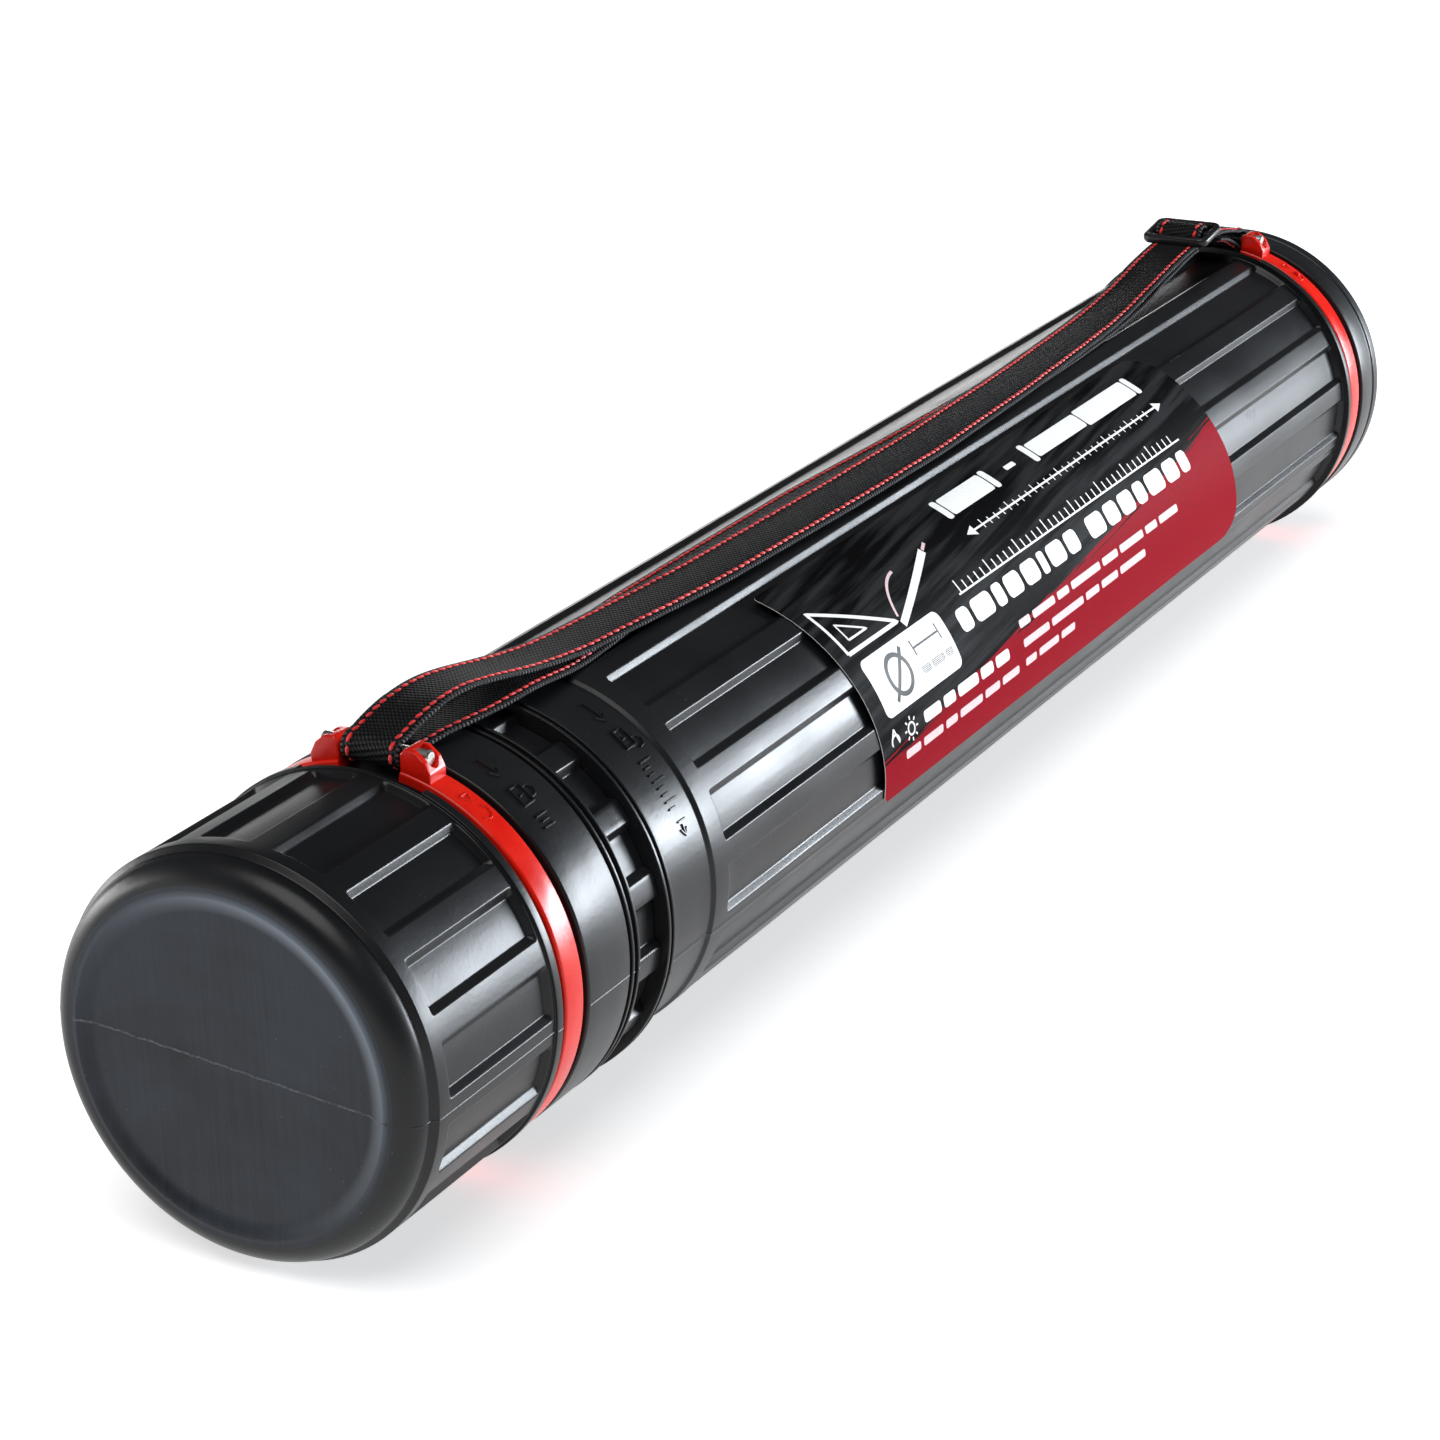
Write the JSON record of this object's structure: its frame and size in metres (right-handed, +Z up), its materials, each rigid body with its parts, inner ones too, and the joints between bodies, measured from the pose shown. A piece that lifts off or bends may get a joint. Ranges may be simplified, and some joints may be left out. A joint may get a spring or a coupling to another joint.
{
  "type": "drawing tube",
  "caption": "Telescoping drawing tube with ribbed blow-moulded tubes, twist lock, end cap and a shoulder strap on red clip rings.",
  "frame": {"origin": "middle of the closed tube's length and width, on the surface that it lies on", "axes": "+X along the tube towards the end cap, +Z up, with the strap on top"},
  "size_m": [0.7684, 0.1292, 0.1461],
  "materials": {
    "black_plastic": "blow-moulded polyethylene, satin with a fine orange peel",
    "red_plastic": "injection-moulded, glossy",
    "buckle_plastic": "injection-moulded, satin",
    "seal_rubber": "matte",
    "steel_pin": "bright drawn wire",
    "webbing": "woven webbing with two rows of red stitching",
    "label_film": "printed film, satin"
  },
  "bodies": {
    "outer": {"outer_tube": "black_plastic", "label_sheet": "label_film", "strap_ring_far": "red_plastic", "strap_pin_far": "steel_pin", "strap_far_loop": "webbing", "strap_far_tab": "webbing", "strap_top_run": "webbing"},
    "near_ring": {"strap_ring_near": "red_plastic", "strap_pin_near": "steel_pin", "strap_near_loop": "webbing", "strap_under_run": "webbing"},
    "inner": {"inner_tube": "black_plastic"},
    "slider": {"strap_slider": "buckle_plastic"},
    "seal": {"cap_seal": "seal_rubber"},
    "cap": {"end_cap": "black_plastic"}
  },
  "joints": [
    {"name": "telescope", "type": "slide", "parent": "outer", "child": "near_ring", "axis": [-1, 0, 0], "range_m": [0, 0.4445], "deforming": ["strap_top_run"]},
    {"name": "twist_lock", "type": "hinge", "parent": "near_ring", "child": "inner", "pos_m": [-0.30268, 0, 0.0646], "axis": [1, 0, 0], "range_deg": [0, 9.8]},
    {"name": "slider_travel", "type": "slide", "parent": "near_ring", "child": "slider", "axis": [-0.9997, 0, -0.0225], "range_m": [0, 0.4447], "deforming": ["strap_under_run"]},
    {"name": "cap_pull", "type": "slide", "parent": "outer", "child": "seal", "axis": [1, 0, 0], "range_m": [0, 0.09]},
    {"name": "cap_turn", "type": "hinge", "parent": "seal", "child": "cap", "pos_m": [0.37083, 0, 0.0646], "axis": [1, 0, 0], "range_deg": [0, 90]}
  ],
  "couplings": [
    {"joint": "slider_travel", "follows": "telescope", "ratio": 1.0002}
  ]
}
